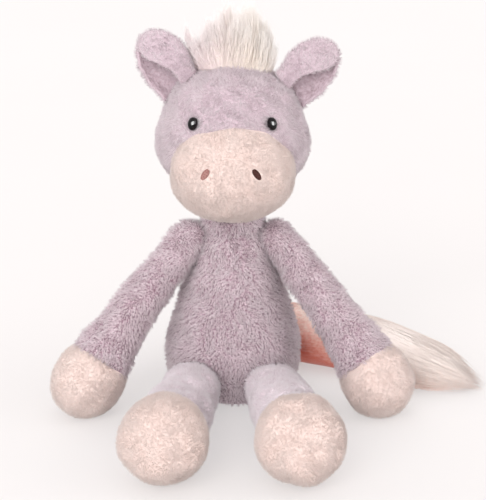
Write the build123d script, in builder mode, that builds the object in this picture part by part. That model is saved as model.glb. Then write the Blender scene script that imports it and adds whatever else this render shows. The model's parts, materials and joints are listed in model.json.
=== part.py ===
from build123d import *
import math
import os

# A sitting soft-toy pony: lilac plush skin, blush muzzle and hooves, long-pile forelock, mane and tail.
# Millimetres. +Z is up, the face looks along -Y, and the toy's own left side is +X.
# The origin is the middle of the flat seat that the toy sits on.

# Fabric and sewing
plush_thickness = 4.0  # backing and pile of the lilac plush
short_plush_thickness = 3.0  # the clipped blush plush of the muzzle and hooves
seam_gap = 0.1  # between pieces that are sewn edge to edge
fill_gap = 0.2  # between a skin and what it holds
joint_gap = 0.4  # between a limb's rounded root and the hollow that it turns in

# Body: two balls and the cone that touches them, cut flat at the seat, with the neck's ball on top
belly_radius = 41.5
belly_height = 23.0
shoulder_radius = 23.0
shoulder_height = 90.0
neck_radius = 20.0
neck_height = 104.0

# Pellet bag in the seat
pellet_bag_radius = 27.0
pellet_bag_half_height = 9.0
pellet_bag_height = 18.0
pellet_cloth_thickness = 0.8

# Head and muzzle, a ball and a short fat pill that lies along X
head_radius = 46.3
head_setback = 2.0
head_rise = 51.0  # centre of the head above the neck's pivot
muzzle_half_width = 40.0
muzzle_radius = 30.5
muzzle_forward = 30.0  # from the head's centre
muzzle_drop = 12.0

# Eyes, each a domed button on a shank with a washer behind the plush
eye_spread = 23.2
eye_rise = 19.5
eye_radius = 3.5
eye_height = 2.8
dome_shoulder = (0.72, 0.62)  # where the dome turns over, in shares of its height and radius
eye_sink = 1.0
eye_seat_gap = 0.25
shank_radius = 1.6
shank_gap = 0.15
washer_radius = 5.5
washer_thickness = 1.2
washer_gap = 0.05
washer_sag = 0.5  # a flat washer stands this far off the hollow side of the plush
shank_tail = 1.5

# Nostrils, satin stitch
nostril_spread = 15.3
nostril_rise = 8.5
nostril_half_length = 2.9
nostril_half_width = 1.4
nostril_tilt = 38.0
nostril_thickness = 0.8

# Ears, two cupped layers on a gathered root
ear_spread = 31.0
ear_lean = 35.0
ear_length = 36.0
ear_half_width = 14.0
ear_root_half_width = 7.0
ear_layer = 2.0
ear_cup_radius = 24.0
ear_root_radius = 2.3
ear_root_length = 13.0
ear_widest = 0.38  # share of the length, from the root
ear_tip_turn = (0.68, 0.82)  # where the edge turns in to the tip, in shares of half width and length

# Long pile
forelock_shift = 2.0
forelock_half_width = 20.0
forelock_half_depth = 14.0
forelock_tip_half_width = 7.0
forelock_tip_half_depth = 5.0
forelock_taper = 0.94  # size at half height, as a share of the size at the base
forelock_sink = 14.0  # below the top of the head
total_height = 228.6
mane_half_width = 9.0
mane_pile = 9.0
mane_corner = 3.0
mane_start_angle = 24.0  # from straight up towards the back
mane_arc = 100.0

# Arms
arm_root_radius = 10.5
arm_end_radius = 16.5
arm_length = 98.0  # shoulder pivot to the middle of the hoof
arm_root_rise = 6.0  # above the middle of the body's shoulder ball
arm_root_turn = 10.0  # degrees forward of the sides
arm_turn = 34.7  # degrees that the arm points forward of the sides
arm_hoof_radius = 21.5
arm_hoof_half_length = 23.5

# Legs
leg_root_radius = 11.5
leg_end_radius = 16.0
leg_length = 87.0  # hip pivot to the middle of the hoof
hip_sink = 4.5
hip_height = 15.5
hip_turn = 30.0  # degrees to each side of straight ahead
leg_splay = 8.5
leg_hoof_radius = 25.0
leg_hoof_half_length = 26.0

hoof_flat = 0.5  # how far a hoof is pressed flat where it rests

# Tail, a woven tab inside long pile, laid round to the toy's left
tail_root_radius = 8.0
tail_sink = 3.0
tail_tab_gap = 0.2
tail_tab_radius = 4.0
tail_height = 18.0
tail_path = [  # places from the tail's pivot, and the pile's radius at each
    ((21.0, 17.5, -3.0), 10.5),
    ((54.0, 9.5, -5.0), 15.0),
    ((88.0, -16.5, -6.0), 13.5),
    ((120.0, -38.5, -9.0), 10.5),
    ((146.0, -58.5, -13.0), 4.5),
]

# Worked-out places
neck_pivot = Vector(0, 0, neck_height)
head_centre = Vector(0, head_setback, neck_height + head_rise)
muzzle_centre = head_centre + Vector(0, -muzzle_forward, -muzzle_drop)
sides = {"left": 1, "right": -1}
far = 400.0  # longer than anything here


def polar(radius, degrees_forward, side, height):
    """A point round the body's axis, from the given side towards the front."""
    turn = math.radians(degrees_forward)
    return Vector(side * radius * math.cos(turn), -radius * math.sin(turn), height)


def shoulder_pivot(side):
    """Where the arm's root ball just clears the body's cone."""
    flare = math.asin((belly_radius - shoulder_radius) / (shoulder_height - belly_height))
    span = shoulder_radius + joint_gap + arm_root_radius
    reach = (span - arm_root_rise * math.sin(flare)) / math.cos(flare)
    return polar(reach, arm_root_turn, side, shoulder_height + arm_root_rise)


def hip_pivot(side):
    reach = belly_radius + leg_root_radius - hip_sink
    return polar(reach, 90 - hip_turn, side, hip_height)


def hoof_centre(pivot, length, degrees_forward, side, radius):
    """Where a limb of this length meets the floor with its hoof."""
    height = radius - hoof_flat
    reach = math.sqrt(length**2 - (pivot.Z - height) ** 2)
    return Vector(pivot.X, pivot.Y, 0) + polar(reach, degrees_forward, side, height)


def tail_pivot():
    return Vector(0, belly_radius + tail_root_radius - tail_sink, tail_height)


def across(direction):
    """Any direction square to this one."""
    return direction.cross(Vector(0, 0, 1) if abs(direction.Z) < 0.9 else Vector(1, 0, 0)).normalized()


def ball_row(start, direction, balls, mode=Mode.ADD, cut=None):
    """Balls in a row, each (place along, radius), and the cones that touch them, cut square at one place."""
    slopes = []
    for (place, radius), (next_place, next_radius) in zip(balls, balls[1:]):
        slopes.append(math.degrees(math.asin((radius - next_radius) / (next_place - place))))
    arrivals = [180] + [90 - slope for slope in slopes]
    departures = arrivals[1:] + [0]
    plane = Plane(origin=start, x_dir=direction, z_dir=across(direction))
    with BuildSketch(plane) as outline:
        with BuildLine():
            arcs = []
            for (place, radius), arrival, departure in zip(balls, arrivals, departures):
                arcs.append(CenterArc((place, 0), radius, arrival, departure - arrival))
            for arc, next_arc in zip(arcs, arcs[1:]):
                Line(arc @ 1, next_arc @ 0)
            Line(arcs[-1] @ 1, arcs[0] @ 0)
        make_face()
        if cut is not None:
            with Locations((cut, 0)):
                Rectangle(far, far, align=(Align.MAX, Align.CENTER), mode=Mode.SUBTRACT)
    revolve(outline.sketch, axis=Axis(start, direction), mode=mode)


def pill(centre, direction, half_length, radius, mode=Mode.ADD):
    """A rod with round ends, about a line through its centre."""
    straight = half_length - radius
    ball_row(centre, direction, [(-straight, radius), (straight, radius)], mode)


def link(start, end, start_radius, end_radius, mode=Mode.ADD):
    """Two balls and the cone that touches both."""
    along = end - start
    ball_row(start, along.normalized(), [(0, start_radius), (along.length, end_radius)], mode)


def sleeve(start, end, start_radius, end_radius, mode=Mode.ADD):
    """A cone with a half ball at its start, cut square at its end."""
    along = end - start
    plane = Plane(origin=start, x_dir=along, z_dir=across(along.normalized()))
    with BuildSketch(plane) as outline:
        with BuildLine():
            root = CenterArc((0, 0), start_radius, 180, -90)
            Polyline(root @ 1, (along.length, end_radius), (along.length, 0), root @ 0)
        make_face()
    revolve(outline.sketch, axis=Axis(start, along), mode=mode)


def ball(centre, radius, mode=Mode.ADD):
    """A ball whose surface seam faces away from the body's axis, so that cuts stay clear of it."""
    facing = math.degrees(math.atan2(centre.Y, centre.X))
    with Locations(Location(centre, (0, 0, facing))):
        Sphere(radius, mode=mode)


def rod(start, direction, length, radius, mode=Mode.ADD):
    with BuildSketch(Plane(origin=start, x_dir=across(direction), z_dir=direction)) as outline:
        Circle(radius)
    extrude(outline.sketch, amount=length, mode=mode)


def pear(inset, mode=Mode.ADD):
    """The body's form, this far inside its outer surface."""
    balls = [(belly_height, belly_radius - inset), (shoulder_height, shoulder_radius - inset)]
    ball_row(Vector(0, 0, 0), Vector(0, 0, 1), balls, mode, cut=inset)
    ball(neck_pivot, neck_radius - inset, mode)


def head_form(inset, mode=Mode.ADD):
    ball(head_centre, head_radius - inset, mode)


def muzzle_form(inset, mode=Mode.ADD):
    pill(muzzle_centre, Vector(1, 0, 0), muzzle_half_width - inset, muzzle_radius - inset, mode)


def body_hollows(growth, mode):
    """The hollows that the legs and tail turn in, grown by a thickness."""
    for side in sides.values():
        ball(hip_pivot(side), leg_root_radius + joint_gap + growth, mode)
    ball(tail_pivot(), tail_root_radius + joint_gap + growth, mode)


def above_floor():
    """Presses flat whatever would reach below the floor."""
    with BuildSketch(Plane.XY) as outline:
        Rectangle(far, far)
    extrude(outline.sketch, amount=-far, mode=Mode.SUBTRACT)


def keep(node, name):
    node.part.label = name
    export_step(node.part, f"parts/{name}.step")


def head_point(spread, rise):
    """A point on the front of the head, and the way out of it there."""
    depth = math.sqrt(head_radius**2 - spread**2 - rise**2)
    out = Vector(spread, -depth, rise)
    return head_centre + out, out.normalized()


os.makedirs("parts", exist_ok=True)

# Body: the lilac skin, its filling, and the bag of pellets that weights the seat
with BuildPart() as body_room:
    pear(plush_thickness)
    body_hollows(plush_thickness, Mode.SUBTRACT)

with BuildPart() as body_cover:
    pear(0)
    body_hollows(0, Mode.SUBTRACT)
    add(body_room.part, mode=Mode.SUBTRACT)
keep(body_cover, "body_cover")


def pellet_form(growth, mode=Mode.ADD):
    """A flat round bag with a full round edge."""
    half_height = pellet_bag_half_height + growth
    flat = pellet_bag_radius - pellet_bag_half_height
    with BuildSketch(Plane.XZ) as outline:
        with BuildLine():
            rim = CenterArc((flat, pellet_bag_height), half_height, -90, 180)
            top = (0, pellet_bag_height + half_height)
            bottom = (0, pellet_bag_height - half_height)
            Polyline(rim @ 1, top, bottom, rim @ 0)
        make_face()
    revolve(outline.sketch, axis=Axis.Z, mode=mode)


with BuildPart() as body_stuffing:
    pear(plush_thickness + fill_gap)
    body_hollows(plush_thickness + fill_gap, Mode.SUBTRACT)
    pellet_form(fill_gap, Mode.SUBTRACT)
keep(body_stuffing, "body_stuffing")

with BuildPart() as pellet_bag:
    pellet_form(0)
    pellet_form(-pellet_cloth_thickness, Mode.SUBTRACT)
    body_hollows(plush_thickness + 2 * fill_gap, Mode.SUBTRACT)
keep(pellet_bag, "pellet_bag")

with BuildPart() as pellets:
    pellet_form(-pellet_cloth_thickness - fill_gap)
    body_hollows(plush_thickness + 3 * fill_gap, Mode.SUBTRACT)
keep(pellets, "pellets")


# Head: the lilac skin with the neck's hollow, the blush muzzle, and one filling for both
def neck_hollow(growth, mode):
    ball(neck_pivot, neck_radius + joint_gap + growth, mode)


def eye_hole(place, out, mode=Mode.SUBTRACT):
    """Room for one eye's rim and shank through the plush."""
    depth = plush_thickness + washer_sag + washer_thickness
    rod(place - out * eye_sink, out, far, eye_radius + eye_seat_gap, mode)
    rod(place - out * depth, out, depth, shank_radius + shank_gap, mode)


def washer_place(place, out):
    return place - out * (plush_thickness + washer_sag + washer_thickness)


eyes = {name: head_point(side * eye_spread, eye_rise) for name, side in sides.items()}

with BuildPart() as head_room:
    head_form(plush_thickness)
    neck_hollow(plush_thickness, Mode.SUBTRACT)

with BuildPart() as muzzle_room:
    muzzle_form(-seam_gap)
    neck_hollow(plush_thickness, Mode.SUBTRACT)

with BuildPart() as head_cover:
    head_form(0)
    neck_hollow(0, Mode.SUBTRACT)
    add(head_room.part, mode=Mode.SUBTRACT)
    add(muzzle_room.part, mode=Mode.SUBTRACT)
    for place, out in eyes.values():
        eye_hole(place, out)
keep(head_cover, "head_cover")

with BuildPart() as muzzle_cover:
    muzzle_form(0)
    muzzle_form(short_plush_thickness, Mode.SUBTRACT)
    head_form(plush_thickness, Mode.SUBTRACT)
    neck_hollow(plush_thickness + seam_gap, Mode.SUBTRACT)
keep(muzzle_cover, "muzzle_cover")

with BuildPart() as head_stuffing:
    head_form(plush_thickness + fill_gap)
    muzzle_form(short_plush_thickness + fill_gap)
    neck_hollow(plush_thickness + fill_gap, Mode.SUBTRACT)
    for place, out in eyes.values():
        depth = washer_thickness + washer_sag + shank_tail + plush_thickness
        rod(place - out * (depth + fill_gap), out, depth, washer_radius + fill_gap, Mode.SUBTRACT)
keep(head_stuffing, "head_stuffing")

for name, (place, out) in eyes.items():
    rim = place - out * eye_sink
    shank = plush_thickness + washer_sag + washer_thickness + shank_tail - eye_sink
    with BuildPart() as eye:
        with BuildSketch(Plane(origin=rim, x_dir=out, z_dir=across(out))):
            with BuildLine():
                shoulder = (eye_height * dome_shoulder[0], eye_radius * dome_shoulder[1])
                dome = ThreePointArc((eye_height, 0), shoulder, (0, eye_radius))
                Polyline(dome @ 1, (0, shank_radius), (-shank, shank_radius), (-shank, 0), dome @ 0)
            make_face()
        revolve(axis=Axis(rim, out))
    keep(eye, f"{name}_eye")

    with BuildPart() as washer:
        rod(washer_place(place, out), out, washer_thickness, washer_radius)
        rod(washer_place(place, out), out, washer_thickness, shank_radius + washer_gap, Mode.SUBTRACT)
    keep(washer, f"{name}_eye_washer")

for name, side in sides.items():
    with BuildPart() as nostril:
        muzzle_form(-nostril_thickness)
        muzzle_form(-seam_gap, Mode.SUBTRACT)
        with BuildSketch(Plane.XZ.offset(-muzzle_centre.Y)):
            with Locations((side * nostril_spread, muzzle_centre.Z + nostril_rise)):
                Ellipse(nostril_half_length, nostril_half_width, rotation=90 + side * nostril_tilt)
        extrude(amount=far, mode=Mode.INTERSECT)
    keep(nostril, f"{name}_nostril")


# Ears: the petal is cupped round a line along its length, and its root is a gathered roll on the head
def ear_root(side):
    """The middle of an ear's root, and the way out of the head there."""
    out = Vector(side * ear_spread, 0, math.sqrt(head_radius**2 - ear_spread**2)).normalized()
    return head_centre + out * (head_radius + ear_root_radius + joint_gap), out


def ear_petal(side, inner_radius, outer_radius, lift):
    """One layer: an outline, cut to the cup's wall and square to the head at its root."""
    root, out = ear_root(side)
    lean = math.radians(ear_lean)
    length = Vector(side * math.sin(lean), 0, math.cos(lean))
    width = Vector(side * math.cos(lean), 0, -math.sin(lean))
    turn = (ear_half_width * ear_tip_turn[0], ear_length * ear_tip_turn[1])
    with BuildSketch(Plane(origin=root, x_dir=width, z_dir=width.cross(length))) as outline:
        with BuildLine():
            edge = Spline(
                (-ear_root_half_width, -ear_root_radius),
                (-ear_half_width, ear_length * ear_widest),
                (-turn[0], turn[1]),
                (0, ear_length),
                turn,
                (ear_half_width, ear_length * ear_widest),
                (ear_root_half_width, -ear_root_radius),
            )
            Line(edge @ 1, edge @ 0)
        make_face()
    extrude(outline.sketch, amount=ear_cup_radius, both=True)
    with BuildSketch(Plane(origin=root, x_dir=width, z_dir=length)) as outline:
        with Locations((0, -side * ear_cup_radius)):
            Circle(outer_radius)
            Circle(inner_radius, mode=Mode.SUBTRACT)
    extrude(outline.sketch, amount=far, both=True, mode=Mode.INTERSECT)
    split(bisect_by=Plane(origin=root + out * lift, z_dir=out), keep=Keep.TOP)


for name, side in sides.items():
    root, out = ear_root(side)
    line = Vector(side * out.Z, 0, -abs(out.X))
    with BuildPart() as ear_back:
        ear_petal(side, ear_cup_radius, ear_cup_radius + ear_layer, 0)
        rod(root - line * ear_root_length / 2, line, ear_root_length, ear_root_radius)
    keep(ear_back, f"{name}_ear_back")

    with BuildPart() as ear_lining:
        inner = ear_cup_radius - seam_gap
        ear_petal(side, inner - ear_layer, inner, ear_root_radius + seam_gap)
    keep(ear_lining, f"{name}_ear_lining")

# Forelock and mane, long pile on strips sewn into the head's middle seam
head_top = head_centre.Z + head_radius
with BuildPart() as forelock:
    base_height = head_top - forelock_sink
    middle_height = (base_height + total_height) / 2
    with BuildSketch(Plane.XY.offset(base_height)):
        with Locations((forelock_shift, head_setback)):
            Ellipse(forelock_half_width, forelock_half_depth)
    with BuildSketch(Plane.XY.offset(middle_height)):
        with Locations((forelock_shift, head_setback)):
            Ellipse(forelock_half_width * forelock_taper, forelock_half_depth * forelock_taper)
    with BuildSketch(Plane.XY.offset(total_height)):
        with Locations((forelock_shift, head_setback)):
            Ellipse(forelock_tip_half_width, forelock_tip_half_depth)
    loft()
    head_form(-seam_gap, Mode.SUBTRACT)
keep(forelock, "forelock")

with BuildPart() as mane:
    start = math.radians(mane_start_angle)
    up = Vector(0, math.sin(start), math.cos(start))
    with BuildSketch(Plane(origin=head_centre, x_dir=Vector(1, 0, 0), z_dir=Vector(1, 0, 0).cross(up))):
        with Locations((0, head_radius)):
            RectangleRounded(mane_half_width * 2, mane_pile * 2, mane_corner)
    revolve(axis=Axis(head_centre, (-1, 0, 0)), revolution_arc=mane_arc)
    head_form(-seam_gap, Mode.SUBTRACT)
    neck_hollow(seam_gap, Mode.SUBTRACT)
keep(mane, "mane")


# Arms and legs: a lilac sleeve, a blush hoof sewn to its open end, and one filling for both
def seam_distance(length, hoof_half_length, hoof_radius, end_radius):
    """How far from the pivot the hoof is as wide as the sleeve that it is sewn to."""
    return length - (hoof_half_length - hoof_radius) - math.sqrt(hoof_radius**2 - end_radius**2)


def make_limb(name, pivot, centre, root_radius, end_radius, hoof_half_length, hoof_radius):
    along = (centre - pivot).normalized()
    reach = (centre - pivot).length
    seam = pivot + along * seam_distance(reach, hoof_half_length, hoof_radius, end_radius)
    sleeve_end = seam - along * seam_gap

    with BuildPart() as cover:
        sleeve(pivot, sleeve_end, root_radius, end_radius)
        inner = (root_radius - plush_thickness, end_radius - plush_thickness)
        sleeve(pivot, sleeve_end, *inner, Mode.SUBTRACT)
        above_floor()
    keep(cover, f"{name}_cover")

    with BuildPart() as hoof:
        pill(centre, along, hoof_half_length, hoof_radius)
        skin = short_plush_thickness
        pill(centre, along, hoof_half_length - skin, hoof_radius - skin, Mode.SUBTRACT)
        rod(seam - along * far, along, far, hoof_radius * 2, Mode.SUBTRACT)
        above_floor()
    keep(hoof, f"{name}_hoof")

    with BuildPart() as filling:
        skin = short_plush_thickness + fill_gap
        pill(centre, along, hoof_half_length - skin, hoof_radius - skin)
        rod(seam, -along, far, hoof_radius, Mode.SUBTRACT)
        skin = plush_thickness + fill_gap
        sleeve(pivot, seam, root_radius - skin, end_radius - skin)
    keep(filling, f"{name}_stuffing")


for name, side in sides.items():
    shoulder = shoulder_pivot(side)
    hoof_place = hoof_centre(shoulder, arm_length, arm_turn, side, arm_hoof_radius)
    arm_sizes = (arm_root_radius, arm_end_radius, arm_hoof_half_length, arm_hoof_radius)
    make_limb(f"{name}_arm", shoulder, hoof_place, *arm_sizes)

    hip = hip_pivot(side)
    hoof_place = hoof_centre(hip, leg_length, 90 - leg_splay, side, leg_hoof_radius)
    leg_sizes = (leg_root_radius, leg_end_radius, leg_hoof_half_length, leg_hoof_radius)
    make_limb(f"{name}_leg", hip, hoof_place, *leg_sizes)

# Tail: the rounded root and tab that carry the pile, and the pile itself
tail_root = tail_pivot()
tab_end = tail_root + Vector(*tail_path[0][0])


def tail_core(growth, mode=Mode.ADD):
    ball(tail_root, tail_root_radius + growth, mode)
    link(tail_root, tab_end, tail_tab_radius + growth, tail_tab_radius + growth, mode)


with BuildPart() as tail_tab:
    tail_core(0)
keep(tail_tab, "tail_tab")

with BuildPart() as tail_pile:
    start, start_radius = tail_root, tail_root_radius
    for offset, radius in tail_path:
        end = tail_root + Vector(*offset)
        link(start, end, start_radius, radius)
        start, start_radius = end, radius
    tail_core(tail_tab_gap, Mode.SUBTRACT)
    above_floor()
keep(tail_pile, "tail_pile")
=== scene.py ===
import json
import math

import bmesh
import bpy
import numpy as np
from mathutils import Matrix, Vector, kdtree


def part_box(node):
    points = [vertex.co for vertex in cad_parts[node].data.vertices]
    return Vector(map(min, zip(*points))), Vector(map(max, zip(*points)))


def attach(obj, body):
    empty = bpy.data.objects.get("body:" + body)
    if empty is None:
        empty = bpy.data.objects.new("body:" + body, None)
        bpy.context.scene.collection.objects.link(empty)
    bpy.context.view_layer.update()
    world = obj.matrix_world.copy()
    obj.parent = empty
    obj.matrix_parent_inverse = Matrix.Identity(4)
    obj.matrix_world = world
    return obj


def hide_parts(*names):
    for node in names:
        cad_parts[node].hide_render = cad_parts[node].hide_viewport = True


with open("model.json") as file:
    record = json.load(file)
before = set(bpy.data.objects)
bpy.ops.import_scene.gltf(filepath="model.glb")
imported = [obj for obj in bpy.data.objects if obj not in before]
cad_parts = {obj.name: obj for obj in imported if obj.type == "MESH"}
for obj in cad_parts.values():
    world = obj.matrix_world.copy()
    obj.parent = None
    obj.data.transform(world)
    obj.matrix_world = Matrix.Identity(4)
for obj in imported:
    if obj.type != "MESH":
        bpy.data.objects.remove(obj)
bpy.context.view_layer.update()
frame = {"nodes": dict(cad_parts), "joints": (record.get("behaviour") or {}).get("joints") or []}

# A sitting plush pony: sewn skins with real pile on them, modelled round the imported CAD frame.
# The mesh work is in millimetres and turns to metres when a mesh is made.
MM = 0.001
SIDES = {"left": 1.0, "right": -1.0}
joint_place = {j["name"]: np.array(j["pos_m"]) / MM for j in frame["joints"]}


def cad(node):
    """A CAD node's lowest and highest corner, in millimetres."""
    low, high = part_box(node)
    return np.array(low) / MM, np.array(high) / MM


def linked(name, data):
    """A new object in the scene."""
    obj = bpy.data.objects.new(name, data)
    bpy.context.scene.collection.objects.link(obj)
    return obj


# ---------------- camera
target = Vector((0.006, 0.0, 0.0866))
elevation = math.radians(20.0)
camera_distance = 1.0
camera_data = bpy.data.cameras.new("camera")
camera_data.lens = 120.2
camera_data.sensor_width = 36.0
camera = linked("camera", camera_data)
back = Vector((0.0, -math.cos(elevation), math.sin(elevation)))
camera.location = target + back * camera_distance
camera.rotation_euler = (-back).to_track_quat("-Z", "Y").to_euler()
bpy.context.scene.camera = camera

# ---------------- sizes, in millimetres
head_low, head_high = cad("head_cover")
head_radius = (head_high[0] - head_low[0]) / 2
head_centre = np.array([0.0, head_high[1] - head_radius, head_high[2] - head_radius])
muzzle_low, muzzle_high = cad("muzzle_cover")
muzzle_half_width = (muzzle_high[0] - muzzle_low[0]) / 2
muzzle_radius = 30.5
muzzle_centre = np.array([0.0, muzzle_low[1] + muzzle_radius, muzzle_low[2] + muzzle_radius])
neck = joint_place["neck_nod"]
neck_radius = 20.0
body_low, body_high = cad("body_cover")
belly_radius = (body_high[0] - body_low[0]) / 2
belly_height = 23.0
shoulder_radius = 23.0
shoulder_height = 90.0
LILAC_SINK = 2.1  # from the CAD surface, which is the mean outside of the pile, in to the sewn cloth
BLUSH_SINK = 1.4
NECK_GAP = 0.4  # between the head's hollow and the neck
HIP_BARE, SHOULDER_BARE, EYE_BARE = 9.5, 8.5, 3.4  # no pile stands this near the middle of each
HIDDEN = 3.0  # no pile starts deeper than this in the head
EYE_SPREAD, EYE_RISE = 23.2, 19.5  # from the head's middle
EYE_HALF_WIDTH, EYE_HALF_HEIGHT, EYE_DOME, EYE_SUNK = 2.7, 3.75, 3.0, 1.6
NOSTRIL_HALF_LENGTH, NOSTRIL_HALF_WIDTH, NOSTRIL_TILT = 3.6, 2.1, math.radians(38.0)
HOOF_FLAT = 0.5  # pressed off the bottom of each hoof
SOLE_HEIGHT = 1.5  # below this a hoof that rests on the floor has no pile
EAR_LENGTH = 34.0
FLOOR = 0.3  # cloth and pile stay this far above the floor
MOST_FACES = 196000  # in one piece of pile


# ---------------- vector and mesh helpers

def unit(v):
    return v / np.maximum(np.linalg.norm(v, axis=-1, keepdims=True), 1e-9)


def ripple(points, wave, seed, count=14):
    """Smooth seeded noise from -1 to 1 or so, with features about one wavelength across."""
    rng = np.random.default_rng(seed)
    directions = unit(rng.normal(size=(count, 3)))
    lengths = rng.uniform(0.7, 1.6, count) * 2 * math.pi / wave
    phases = rng.uniform(0, 2 * math.pi, count)
    return np.sin(points @ (directions * lengths[:, None]).T + phases).sum(1) / math.sqrt(count / 2) / 1.6


def smooth_step(x, low, high):
    t = np.clip((x - low) / (high - low), 0, 1)
    return t * t * (3 - 2 * t)


def turns(around):
    return np.linspace(0, 2 * math.pi, around, endpoint=False)


def lengths_along(line):
    """How far along a line of points each point is."""
    return np.concatenate([[0], np.cumsum(np.linalg.norm(np.diff(line, axis=0), axis=1))])


def distance(p, place):
    return np.linalg.norm(p - place, axis=1)


def link_mesh(name, points, faces, material):
    points[:, 2] = np.maximum(points[:, 2], FLOOR)
    mesh = bpy.data.meshes.new(name)
    mesh.from_pydata((points * MM).tolist(), [], faces)
    mesh.polygons.foreach_set("use_smooth", [True] * len(mesh.polygons))
    mesh.materials.append(material)
    mesh.update()
    return linked(name, mesh)


def face_outwards(obj):
    bm = bmesh.new()
    bm.from_mesh(obj.data)
    bmesh.ops.recalc_face_normals(bm, faces=bm.faces)
    bm.to_mesh(obj.data)
    bm.free()


def unit_ball(subdivisions, tilt=0.0):
    """The points and triangles of a ball of radius 1."""
    bm = bmesh.new()
    bmesh.ops.create_icosphere(bm, subdivisions=subdivisions, radius=1.0)
    bmesh.ops.rotate(bm, cent=(0, 0, 0), matrix=Matrix.Rotation(tilt, 3, "X"), verts=bm.verts)
    points = np.array([v.co[:] for v in bm.verts])
    faces = [tuple(v.index for v in f.verts) for f in bm.faces]
    bm.free()
    return points, faces


def link_rings(name, rings, first, last, material):
    """A closed skin over rings of points, with one more point at each end."""
    points = np.concatenate([np.concatenate(rings), [first, last]])
    return link_mesh(name, points, ring_faces(len(rings), len(rings[0])), material)


def ring_faces(rings, around):
    """Quads between rings of points, and a fan at each end round one more point."""
    faces = []
    for i in range(rings - 1):
        for j in range(around):
            k = (j + 1) % around
            faces.append((i * around + j, i * around + k, (i + 1) * around + k, (i + 1) * around + j))
    first, last, base = rings * around, rings * around + 1, (rings - 1) * around
    for j in range(around):
        k = (j + 1) % around
        faces.append((first, k, j))
        faces.append((last, base + j, base + k))
    return faces


def turned(start, direction, profile, around):
    """The points and faces of a profile of (place along, radius) turned about a line."""
    direction = unit(direction)
    side = unit(np.cross(direction, [0, 0, 1] if abs(direction[2]) < 0.9 else [1, 0, 0]))
    other = np.cross(direction, side)
    turn = turns(around)
    circle = np.cos(turn)[:, None] * side + np.sin(turn)[:, None] * other
    inner = profile[1:-1]
    points = (start + inner[:, :1] * direction)[:, None] + inner[:, 1][:, None, None] * circle[None]
    ends = [start + profile[0, 0] * direction, start + profile[-1, 0] * direction]
    return np.concatenate([points.reshape(-1, 3), ends]), ring_faces(len(inner), around)


def swept(line, radii, around, wide=None):
    """Rings of these radii square to a smooth line, closed at both ends. wide stretches them level."""
    ahead = unit(np.gradient(line, axis=0))
    side = unit(np.cross(ahead, [0.0, 0.0, 1.0] if abs(ahead[0, 2]) < 0.9 else [1.0, 0.0, 0.0]))
    other = np.cross(ahead, side)
    if wide is not None:
        side = side * wide[:, None]
    turn = turns(around)[None, :, None]
    circle = np.cos(turn) * side[:, None] + np.sin(turn) * other[:, None]
    points = line[1:-1, None] + circle[1:-1] * radii[1:-1, None, None]
    return np.concatenate([points.reshape(-1, 3), line[:1], line[-1:]]), ring_faces(len(line) - 2, around)


def ball_row_profile(balls, step):
    """The outline of balls in a row and the cones that touch them, as (place along, radius)."""
    slopes = [math.asin((r - q) / (b - a)) for (a, r), (b, q) in zip(balls, balls[1:])]
    arrive = [math.pi] + [math.pi / 2 - s for s in slopes]
    leave = arrive[1:] + [0.0]
    outline = []
    for (place, radius), a, b in zip(balls, arrive, leave):
        count = max(2, int(abs(a - b) * radius / step))
        for angle in np.linspace(a, b, count):
            outline.append((place + radius * math.cos(angle), radius * math.sin(angle)))
    outline = np.array(outline)
    gaps = lengths_along(outline)
    even = np.linspace(0, gaps[-1], max(8, int(gaps[-1] / step)))
    return np.stack([np.interp(even, gaps, outline[:, 0]), np.abs(np.interp(even, gaps, outline[:, 1]))], 1)


def vectors(values, key):
    out = np.zeros(len(values) * 3, np.float32)
    values.foreach_get(key, out)
    return out.reshape(-1, 3).astype(float)


def points_of(obj):
    return vectors(obj.data.vertices, "co") / MM


def normals_of(obj):
    return vectors(obj.data.vertex_normals, "vector")


def lumps(obj, wave, amount, seed):
    """Soft unevenness of the stuffing, along the skin's own normals."""
    points = points_of(obj)
    points += normals_of(obj) * (ripple(points, wave, seed) * amount)[:, None]
    points[:, 2] = np.maximum(points[:, 2], FLOOR)
    obj.data.vertices.foreach_set("co", (points * MM).astype(np.float32).ravel())
    obj.data.update()


def scatter(obj, density, rng):
    """Seeded random places on a mesh, with its smooth normal at each."""
    mesh = obj.data
    mesh.calc_loop_triangles()
    corners = np.zeros(len(mesh.loop_triangles) * 3, np.int32)
    mesh.loop_triangles.foreach_get("vertices", corners)
    corners = corners.reshape(-1, 3)
    points, normals = points_of(obj), normals_of(obj)
    a, b, c = (points[corners[:, i]] for i in range(3))
    areas = np.linalg.norm(np.cross(b - a, c - a), axis=1) / 2
    count = int(areas.sum() * density)
    chosen = np.searchsorted(np.cumsum(areas), rng.random(count) * areas.sum())
    chosen = np.minimum(chosen, len(areas) - 1)
    u, v = rng.random(count), rng.random(count)
    over = u + v > 1
    u[over], v[over] = 1 - u[over], 1 - v[over]
    weights = np.stack([1 - u - v, u, v], 1)[:, :, None]
    return (points[corners[chosen]] * weights).sum(1), unit((normals[corners[chosen]] * weights).sum(1))


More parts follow.
